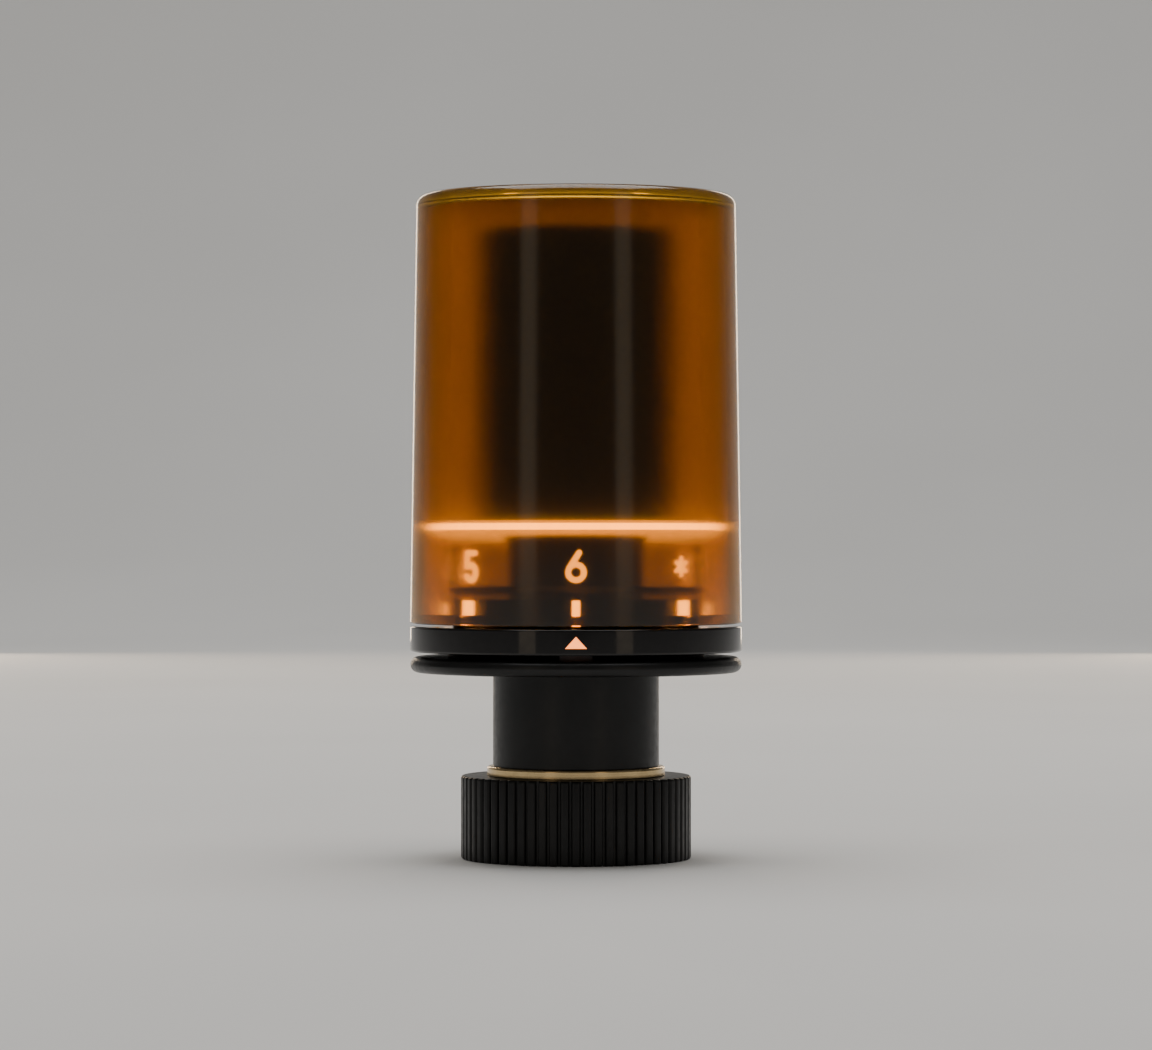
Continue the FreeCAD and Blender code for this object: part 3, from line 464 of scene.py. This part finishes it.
def clear_plastic():
    """Clear sleeve of the dial."""
    made = Shader("sleeve_clear")
    made.tones(made.noise(300, 2), (0.93, 0.90, 0.84), (0.97, 0.95, 0.90))
    made.roughen(made.noise(700, 2), 0.02, 0.05)
    made.set(IOR=SLEEVE_IOR, Transmission_Weight=1.0)
    return made.material


def circuit_lacquer():
    """Green lacquered board with tracks under the lacquer."""
    made = Shader("board_green")
    tracks = made.node("ShaderNodeTexBrick")
    tracks.inputs["Scale"].default_value = 260
    tracks.inputs["Mortar Size"].default_value = 0.06
    tracks.inputs["Color1"].default_value = (0.008, 0.060, 0.022, 1)
    tracks.inputs["Color2"].default_value = (0.010, 0.075, 0.028, 1)
    tracks.inputs["Mortar"].default_value = (0.030, 0.150, 0.060, 1)
    made.link(made.coordinates, "Object", tracks, "Vector")
    made.link(tracks, "Color", made.surface, "Base Color")
    made.roughen(made.noise(500, 3), 0.22, 0.34)
    made.bump(tracks, 0.02 * MM)
    made.set(Coat_Weight=0.5, Coat_Roughness=0.1)
    return made.material


class VALVE_OT_cap(bpy.types.Operator):
    """Builds the amber cap, polished outside and frosted inside"""

    bl_idname = "valve_head.cap"
    bl_label = "Amber cap"

    def execute(self, context):
        settings = context.scene.valve_cap
        foot = foot_of("amber_cap")
        top = top_of("amber_cap")
        foot_r = radius_of("amber_cap")
        top_r = foot_r - settings.draft
        wall = settings.wall
        outline = rounded([
            (0, top, 0),
            (top_r, top, settings.edge),
            (foot_r, foot, settings.foot_edge),
            (foot_r - wall, foot, settings.foot_edge),
            (top_r - wall, top - wall, settings.edge / 2),
            (0, top - wall, 0),
        ], 10)
        cap = lathe("cap_shell", outline)
        tone = tuple(settings.amber)
        cap.data.materials.append(amber_gloss(tone, settings.polish))
        cap.data.materials.append(
            amber_frost(tone, settings.frost, settings.window_frost, foot_of("light_ring"))
        )
        for face in cap.data.polygons:
            centre = face.center
            facing = Vector((centre.x, centre.y, 0)).dot(face.normal)
            under_roof = face.normal.z < -0.5 and centre.z > foot + wall
            inside = (facing < 0 and centre.z > foot + settings.foot_edge) or under_roof
            face.material_index = 1 if inside else 0
        finish_piece(cap, None, "cap", "amber_clear", "amber_cap")
        return {"FINISHED"}


class VALVE_OT_light_ring(bpy.types.Operator):
    """Builds the light ring with its glowing rim and paints its lamps"""

    bl_idname = "valve_head.light_ring"
    bl_label = "Light ring"

    def execute(self, context):
        glow = context.scene.valve_glow
        foot = foot_of("light_ring")
        top = top_of("light_ring")
        outer = radius_of("light_ring")
        bore = radius_of("motor_chimney") - RING_BORE_PLAY
        width, height = RING_BEVEL
        face_fillet, rim_fillet = RING_FILLETS
        outline = rounded([
            (bore, top, 0),
            (outer - width, top, face_fillet),
            (outer, top - height, rim_fillet),
            (outer, foot + height, rim_fillet),
            (outer - width, foot, face_fillet),
            (bore, foot, 0),
        ], 6)
        ring = lathe("light_guide", outline)
        warm = tuple(glow.warm)
        ring.data.materials.append(glowing("ring_glow", MILKY_RING, warm, glow.ring_strength))
        ring.data.materials.append(glowing("ring_face", MILKY_RING, warm, glow.face_strength))
        for face in ring.data.polygons:
            face.material_index = 1 if abs(face.normal.z) > 0.6 else 0
        finish_piece(ring, None, "housing", "lit_ring", "light_ring")
        paint(glowing("lamp_glow", MILKY_LAMP, warm, glow.ring_strength), "ring_lamps")
        return {"FINISHED"}


class VALVE_OT_dial(bpy.types.Operator):
    """Finishes the clear number sleeve, its lit marks and its magnet"""

    bl_idname = "valve_head.dial"
    bl_label = "Dial"

    def execute(self, context):
        glow = context.scene.valve_glow
        warm = tuple(glow.warm)
        figures = [name for name in NODES if name.startswith("numeral_")]
        paint(glowing("figure_glow", MILKY, warm, glow.figure_strength), "frost_mark", *figures)
        paint(glowing("tick_glow", MILKY, warm, glow.tick_strength), "tick_bars")
        pointer_light = tuple(glow.pointer)
        paint(glowing("pointer_glow", MILKY_POINTER, pointer_light, glow.pointer_strength), "pointer_lens")
        paint(clear_plastic(), "number_sleeve")
        paint(moulded("magnet_grey", (0.05, 0.05, 0.055), 0.55), "encoder_magnet")
        return {"FINISHED"}


class VALVE_OT_union_nut(bpy.types.Operator):
    """Builds the ribbed union nut with its inner thread"""

    bl_idname = "valve_head.union_nut"
    bl_label = "Union nut"

    def execute(self, context):
        finish_piece(
            ribbed_nut(context.scene.valve_nut),
            moulded("grip_black", (0.006, 0.006, 0.006), 0.36, shine=0.34),
            "union_nut", "black_grip_plastic", "union_nut",
        )
        return {"FINISHED"}


# the nut's shape
SAMPLES_PER_RIB = 12  # mesh columns in each rib
NUT_CORNER_STEPS = 6
THREAD_ROWS = 72
NECK_PASS_INSET = 0.84 * MM  # from the brass ring's radius to the hole for the neck
WEB_OVER_WASHER = 0.4 * MM  # from the washer's foot to the nut's web
LEAD_IN = 0.6 * MM  # how much wider the thread's mouth is
LEAD_IN_EDGE = 0.1 * MM
THREAD_FOOT = 0.6 * MM
THREAD_STOP = 0.3 * MM  # from the thread's end to the neck's seat
RELIEF_STEP = 0.15 * MM
RELIEF_SHARE = 0.6  # of the thread's depth
RIB_EDGE = 0.10  # how far a rib's rounded edge starts before its groove, in rib pitches
RIB_EDGE_WIDTH = 0.16


def ribbed_nut(settings):
    """The nut's mesh: rounded ribs outside and a cut thread inside."""
    columns = settings.ribs * SAMPLES_PER_RIB
    outer = radius_of("union_nut")
    top = top_of("union_nut")
    seat = foot_of("neck_sleeve")
    neck_pass = radius_of("brass_ring") - NECK_PASS_INSET
    web = foot_of("nut_washer") + WEB_OVER_WASHER
    rib_angle = 2 * math.pi / settings.ribs
    groove_share = settings.groove / (outer * rib_angle)

    def groove_at(column):
        """How deep the groove is at a column, from 0 on a rib to 1 in a groove."""
        turn = (column % SAMPLES_PER_RIB) / SAMPLES_PER_RIB
        off = abs(turn - 0.5) * 2
        edge = 1 - groove_share
        ramp = (off - edge + RIB_EDGE) / RIB_EDGE_WIDTH
        ramp = min(1.0, max(0.0, ramp))
        return ramp * ramp * (3 - 2 * ramp)

    rows = []
    for upper in (True, False):
        for step in range(NUT_CORNER_STEPS + 1):
            share = step / NUT_CORNER_STEPS
            angle = math.pi / 2 * (share if upper else 1 - share)
            inset = settings.edge * (1 - math.cos(angle))
            radius = outer - settings.edge + settings.edge * math.sin(angle)
            rows.append((radius, top - inset if upper else inset, True))
    core = settings.thread_core
    rows.append((core + LEAD_IN, 0.0, False))
    rows.append((core + LEAD_IN - LEAD_IN_EDGE, LEAD_IN_EDGE, False))
    thread_top = seat - THREAD_STOP
    for step in range(THREAD_ROWS + 1):
        rows.append((core, THREAD_FOOT + (thread_top - THREAD_FOOT) * step / THREAD_ROWS, None))
    relief = core + settings.thread_depth * RELIEF_SHARE
    rows.append((relief, thread_top + RELIEF_STEP, False))
    rows.append((relief, web, False))
    rows.append((neck_pass, web, False))
    rows.append((neck_pass, top, False))

    work = bmesh.new()
    grid = []
    for r, z, ribbed in rows:
        ring = []
        for column in range(columns):
            angle = -math.pi / 2 + 2 * math.pi * (column - SAMPLES_PER_RIB / 2) / columns
            radius = r
            if ribbed:
                deepest = outer - settings.depth
                radius = r + (min(r, deepest) - r) * groove_at(column)
            elif ribbed is None:
                run_in = (z - THREAD_FOOT) / settings.pitch
                run_out = (thread_top - z) / (0.4 * settings.pitch)
                fade = min(1.0, run_in, run_out)
                turn = (z / settings.pitch - column / columns) % 1.0
                flank = min(1.0, max(0.0, 1.25 - abs(turn - 0.5) * 3.2))
                radius = r + settings.thread_depth * flank * max(0.0, fade)
            ring.append(work.verts.new((radius * math.cos(angle), radius * math.sin(angle), z)))
        grid.append(ring)
    for lower, upper in zip(grid, grid[1:] + grid[:1]):
        for column in range(columns):
            after = (column + 1) % columns
            work.faces.new((lower[column], lower[after], upper[after], upper[column]))
    bmesh.ops.recalc_face_normals(work, faces=work.faces)
    mesh = bpy.data.meshes.new("ribbed_nut")
    work.to_mesh(mesh)
    work.free()
    mesh.shade_smooth()
    piece = place("ribbed_nut", mesh)
    sharpen(piece, 40)
    return piece


class VALVE_OT_neck(bpy.types.Operator):
    """Finishes the neck, flange, pointer ring and the bright ring on the neck"""

    bl_idname = "valve_head.neck"
    bl_label = "Neck and rings"

    def execute(self, context):
        satin = moulded("satin_black", (0.007, 0.007, 0.007), 0.34, shine=0.34)
        paint(satin, "neck_sleeve", "base_flange")
        paint(moulded("matt_black", (0.006, 0.006, 0.006), 0.62, shine=0.12),
              "base_drum", "motor_chimney", "battery_tube", "battery_lid")
        gloss = moulded(
            "gloss_black", (0.005, 0.004, 0.004), 0.08, 0.001 * MM, 900, coat=0.35, shine=0.3
        )
        paint(gloss, "pointer_ring")
        paint(metal("brass_bright", (0.72, 0.53, 0.27), 0.20), "brass_ring")
        paint(moulded("bush_grey", (0.22, 0.22, 0.21), 0.42), "guide_bush")
        return {"FINISHED"}


class VALVE_OT_works(bpy.types.Operator):
    """Finishes the gears, motor, plunger, battery and boards"""

    bl_idname = "valve_head.works"
    bl_label = "Inner works"

    def execute(self, context):
        acetal = moulded("acetal_white", (0.72, 0.71, 0.67), 0.34, scale=3000)
        paint(acetal, "output_gear", "second_gear", "first_gear", "plunger_foot", "nut_washer")
        brass = metal("brass_works", (0.70, 0.50, 0.24), 0.28)
        paint(brass, "spindle_nut", "motor_pinion", "positive_contact")
        steel = metal("steel_bright", (0.56, 0.56, 0.57), 0.26)
        paint(steel, "gear_plate", "gear_axles", "motor_shaft", "drive_screw", "neck_screws")
        paint(steel, "drum_screws", "stop_pin", "battery_spring")
        paint(metal("motor_can", (0.50, 0.50, 0.52), 0.33, 2500), "drive_motor")
        paint(moulded("rubber_black", (0.02, 0.02, 0.02), 0.62, scale=2600), "motor_damper", "lid_seal")
        paint(circuit_lacquer(), "main_board", "ring_board")
        chips = moulded("chip_black", (0.022, 0.022, 0.025), 0.48)
        paint(chips, "board_parts", "dial_sensor", "pointer_board")
        paint(moulded("film_amber", (0.42, 0.17, 0.03), 0.24, scale=1500), "flex_strip")
        paint(moulded("cell_sleeve", (0.11, 0.12, 0.14), 0.22, scale=800, coat=0.6), "battery_cell")
        return {"FINISHED"}


# tall lights: angle from the camera's side in degrees, then distance, width and height
FRONT_STRIP = (33, 0.75, 0.15, 0.55)
RIM_PANEL = (165, 1.10, 0.07, 0.60)
LIGHT_TONE = (1.0, 0.80, 0.58)
LIGHT_LIFT = 5 * MM  # of the tall lights over the floor
OVERHEAD_SIZE = 1.6
OVERHEAD_PLACE = (0, 0.3, 1.6)
SENSOR_WIDTH = 36


class VALVE_OT_stage(bpy.types.Operator):
    """Sets the pale floor, the soft lights and the camera"""

    bl_idname = "valve_head.stage"
    bl_label = "Stage"

    def execute(self, context):
        settings = context.scene.valve_stage
        pale_floor()
        room_light(settings.sky)
        soft_box(settings.top_power)
        for side in (-1, 1):
            panel_light("front_strip", side, FRONT_STRIP, settings.strip_power)
            panel_light("rim_panel", side, RIM_PANEL, settings.rim_power)
        camera_data = bpy.data.cameras.new("camera")
        camera_data.lens = settings.lens
        camera_data.sensor_width = SENSOR_WIDTH
        camera_data.clip_start = 0.01
        camera = bpy.data.objects.new("camera", camera_data)
        camera.location = (0, -settings.distance, settings.eye_height)
        camera.rotation_euler = (math.pi / 2, 0, 0)
        context.scene.collection.objects.link(camera)
        context.scene.camera = camera
        return {"FINISHED"}


def pale_floor():
    """A pale floor that curves up into a backdrop far behind the head."""
    half_width = 12.0
    front = -12.0
    bend_start = 1.2
    bend_radius = 0.8
    bend_steps = 16
    wall_top = 3.0
    line = [(front, 0.0), (bend_start, 0.0)]
    for step in range(1, bend_steps + 1):
        angle = math.pi / 2 * step / bend_steps
        y = bend_start + bend_radius * math.sin(angle)
        line.append((y, bend_radius * (1 - math.cos(angle))))
    line.append((bend_start + bend_radius, wall_top))
    work = bmesh.new()
    rows = []
    for y, z in line:
        rows.append((work.verts.new((-half_width, y, z)), work.verts.new((half_width, y, z))))
    for near, far in zip(rows, rows[1:]):
        work.faces.new((near[0], near[1], far[1], far[0]))
    mesh = bpy.data.meshes.new("floor")
    work.to_mesh(mesh)
    work.free()
    mesh.shade_smooth()
    floor = place("floor", mesh)
    made = Shader("floor_pale")
    made.tones(made.noise(3, 3), (0.60, 0.59, 0.57), (0.64, 0.63, 0.61))
    made.set(Roughness=0.85)
    floor.data.materials.append(made.material)


def room_light(strength):
    """An even light from all round."""
    world = bpy.data.worlds.new("room")
    world.use_nodes = True
    background = world.node_tree.nodes["Background"]
    background.inputs["Color"].default_value = (1.0, 0.98, 0.95, 1)
    background.inputs["Strength"].default_value = strength
    bpy.context.scene.world = world


def soft_box(power):
    """A wide soft light overhead that shines straight down."""
    light = bpy.data.lights.new("overhead", "AREA")
    light.size = OVERHEAD_SIZE
    light.energy = power
    lamp = bpy.data.objects.new("overhead", light)
    lamp.location = OVERHEAD_PLACE
    bpy.context.scene.collection.objects.link(lamp)


def panel_light(name, side, panel, power):
    """A tall soft panel that stands on the floor and faces the head."""
    azimuth, distance, width, length = panel
    light = bpy.data.lights.new(name, "AREA")
    light.shape = "RECTANGLE"
    light.size = width
    light.size_y = length
    light.energy = power
    light.color = LIGHT_TONE
    lamp = bpy.data.objects.new(name, light)
    angle = math.radians(side * azimuth)
    height = LIGHT_LIFT + length / 2
    lamp.location = (distance * math.sin(angle), -distance * math.cos(angle), height)
    lamp.rotation_euler = (math.pi / 2, 0, angle)
    lamp.visible_camera = False
    bpy.context.scene.collection.objects.link(lamp)


class VALVE_PT_head(bpy.types.Panel):
    """Lists the head's pieces in the sidebar"""

    bl_idname = "VALVE_PT_head"
    bl_label = "Valve head"
    bl_space_type = "VIEW_3D"
    bl_region_type = "UI"
    bl_category = "Valve head"

    def draw(self, context):
        for group in SETTINGS:
            box = self.layout.box()
            values = getattr(context.scene, group)
            for key in values.__annotations__:
                box.prop(values, key)
        for operator in OPERATORS:
            self.layout.operator(operator.bl_idname)


SETTINGS = {
    "valve_cap": CapSettings,
    "valve_glow": GlowSettings,
    "valve_nut": NutSettings,
    "valve_stage": StageSettings,
}
OPERATORS = (
    VALVE_OT_stage,
    VALVE_OT_cap,
    VALVE_OT_light_ring,
    VALVE_OT_dial,
    VALVE_OT_union_nut,
    VALVE_OT_neck,
    VALVE_OT_works,
)


def register():
    for group, kind in SETTINGS.items():
        bpy.utils.register_class(kind)
        setattr(bpy.types.Scene, group, bpy.props.PointerProperty(type=kind))
    for kind in OPERATORS:
        bpy.utils.register_class(kind)
    bpy.utils.register_class(VALVE_PT_head)


def unregister():
    bpy.utils.unregister_class(VALVE_PT_head)
    for kind in reversed(OPERATORS):
        bpy.utils.unregister_class(kind)
    for group, kind in SETTINGS.items():
        delattr(bpy.types.Scene, group)
        bpy.utils.unregister_class(kind)


def main():
    """Builds every piece in order."""
    register()
    bpy.ops.valve_head.stage()
    bpy.ops.valve_head.cap()
    bpy.ops.valve_head.light_ring()
    bpy.ops.valve_head.dial()
    bpy.ops.valve_head.union_nut()
    bpy.ops.valve_head.neck()
    bpy.ops.valve_head.works()


if __name__ == "__main__":
    main()
